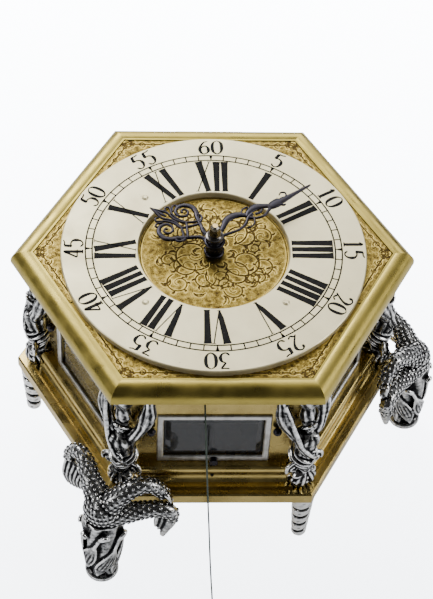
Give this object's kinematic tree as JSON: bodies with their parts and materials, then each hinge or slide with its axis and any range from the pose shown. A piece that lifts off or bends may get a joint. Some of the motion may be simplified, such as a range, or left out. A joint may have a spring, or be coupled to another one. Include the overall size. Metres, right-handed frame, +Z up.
{
  "type": "table clock",
  "caption": "Hexagonal table clock with a horizontal dial on a hinged cover, figure corners, sculpted feet, glazed sides and a pull cord.",
  "frame": {"origin": "on the surface that it stands on, under the hand arbor, at the middle of the three round foot pads", "axes": "+Z up along the hand arbor, -Y towards the front, +Y towards the numeral 60 on the dial"},
  "size_m": [0.1517, 0.1698, 0.1103],
  "materials": {
    "gilt_case": "satin gilt",
    "gilt_cover": "satin gilt, slightly worn",
    "gilt_dial": "engraved and matted gilt",
    "silvered_ring": "silvered, grained",
    "oxidised_silver": "cast silver with dark recesses",
    "silver_frame": "matt silver",
    "window_glass": "polished",
    "blued_steel": "blued",
    "polished_steel": "polished",
    "movement_brass": "grained brass",
    "bell_metal": "turned",
    "cord_fibre": "twisted cord"
  },
  "bodies": {
    "case": {"base_plate": "gilt_case", "base_moulding": "gilt_case", "base_screws": "blued_steel", "wall_panels": "gilt_case", "window_frame_back_right": "silver_frame", "window_frame_back": "silver_frame", "window_frame_back_left": "silver_frame", "window_frame_front_left": "silver_frame", "window_frame_front": "silver_frame", "window_frame_front_right": "silver_frame", "window_panes": "window_glass", "figure_pins": "blued_steel", "corner_figure_right": "oxidised_silver", "corner_figure_back_right": "oxidised_silver", "corner_figure_back_left": "oxidised_silver", "corner_figure_left": "oxidised_silver", "corner_figure_front_left": "oxidised_silver", "corner_figure_front_right": "oxidised_silver", "dragon_foot_front_left": "oxidised_silver", "dragon_foot_right": "oxidised_silver", "dragon_foot_back_left": "oxidised_silver", "ribbed_foot_back_right": "oxidised_silver", "ribbed_foot_left": "oxidised_silver", "ribbed_foot_front_right": "oxidised_silver", "cord_eyelet": "gilt_case", "pull_cord": "cord_fibre", "cord_knot": "cord_fibre", "case_hinge_leaf": "gilt_case", "hinge_pin": "blued_steel", "bell": "bell_metal", "bell_post": "polished_steel"},
    "movement": {"cover_moulding": "gilt_cover", "dial_plate": "gilt_dial", "chapter_ring": "silvered_ring", "dial_rivets": "silvered_ring", "cover_hinge_leaf": "movement_brass", "upper_plate": "movement_brass", "lower_plate": "movement_brass", "pillars": "movement_brass", "movement_screws": "blued_steel", "balance_cock": "movement_brass", "minute_wheel_post": "polished_steel", "catch_block": "polished_steel"},
    "winding_shutter": {"winding_shutter": "gilt_case"},
    "catch": {"movement_catch": "blued_steel"},
    "centre_arbor": {"centre_wheel": "movement_brass", "cannon_pinion": "polished_steel", "minute_hand": "blued_steel", "hand_collet": "blued_steel"},
    "minute_wheel": {"minute_wheel": "movement_brass"},
    "hour_wheel": {"hour_wheel": "movement_brass", "hour_hand": "blued_steel"},
    "barrel": {"spring_barrel": "movement_brass", "mainspring": "blued_steel"},
    "winding_arbor": {"winding_arbor": "polished_steel"},
    "third_wheel": {"third_wheel": "movement_brass"},
    "fourth_wheel": {"fourth_wheel": "movement_brass"},
    "escape_wheel": {"escape_wheel": "movement_brass"},
    "balance": {"balance_wheel": "movement_brass"},
    "hammer": {"bell_hammer": "polished_steel"}
  },
  "joints": [
    {"name": "cover_hinge", "type": "hinge", "parent": "case", "child": "movement", "pos_m": [0, 0.0616, 0.09], "axis": [-1, 0, 0], "range_deg": [0, 80]},
    {"name": "catch_turn", "type": "hinge", "parent": "case", "child": "catch", "pos_m": [0.0003, -0.045, 0.04775], "axis": [0, 1, 0], "range_deg": [0, 84]},
    {"name": "shutter_swing", "type": "hinge", "parent": "case", "child": "winding_shutter", "pos_m": [0.014, 0.018, 0.032], "axis": [0, 0, -1], "range_deg": [0, 60]},
    {"name": "minute_hand_turn", "type": "hinge", "parent": "movement", "child": "centre_arbor", "pos_m": [0, 0, 0.07], "axis": [0, 0, -1], "continuous": true},
    {"name": "minute_wheel_turn", "type": "hinge", "parent": "movement", "child": "minute_wheel", "pos_m": [0.00679, 0.00679, 0.07], "axis": [0, 0, -1], "continuous": true},
    {"name": "hour_hand_turn", "type": "hinge", "parent": "movement", "child": "hour_wheel", "pos_m": [0, 0, 0.07], "axis": [0, 0, -1], "continuous": true},
    {"name": "barrel_turn", "type": "hinge", "parent": "movement", "child": "barrel", "pos_m": [0, 0.018, 0.07], "axis": [0, 0, -1], "continuous": true},
    {"name": "third_wheel_turn", "type": "hinge", "parent": "movement", "child": "third_wheel", "pos_m": [0.01559, -0.009, 0.07], "axis": [0, 0, -1], "continuous": true},
    {"name": "fourth_wheel_turn", "type": "hinge", "parent": "movement", "child": "fourth_wheel", "pos_m": [0.00087, -0.0175, 0.07], "axis": [0, 0, -1], "continuous": true},
    {"name": "escape_wheel_turn", "type": "hinge", "parent": "movement", "child": "escape_wheel", "pos_m": [-0.01173, -0.0175, 0.07], "axis": [0, 0, -1], "continuous": true},
    {"name": "winding_arbor_turn", "type": "hinge", "parent": "movement", "child": "winding_arbor", "pos_m": [0, 0.018, 0.07], "axis": [0, 0, -1], "continuous": true},
    {"name": "balance_swing", "type": "hinge", "parent": "movement", "child": "balance", "pos_m": [-0.01693, -0.0175, 0.054], "axis": [0, 0, 1], "range_deg": [-50, 50]},
    {"name": "hammer_swing", "type": "hinge", "parent": "movement", "child": "hammer", "pos_m": [0.03, 0.004, 0.056], "axis": [0, 0, 1], "range_deg": [0, 14]}
  ],
  "couplings": [
    {"joint": "minute_wheel_turn", "follows": "minute_hand_turn", "ratio": -0.33333},
    {"joint": "hour_hand_turn", "follows": "minute_hand_turn", "ratio": 0.083333},
    {"joint": "barrel_turn", "follows": "minute_hand_turn", "ratio": -0.2},
    {"joint": "third_wheel_turn", "follows": "minute_hand_turn", "ratio": -8},
    {"joint": "fourth_wheel_turn", "follows": "minute_hand_turn", "ratio": 60},
    {"joint": "escape_wheel_turn", "follows": "minute_hand_turn", "ratio": -480}
  ]
}
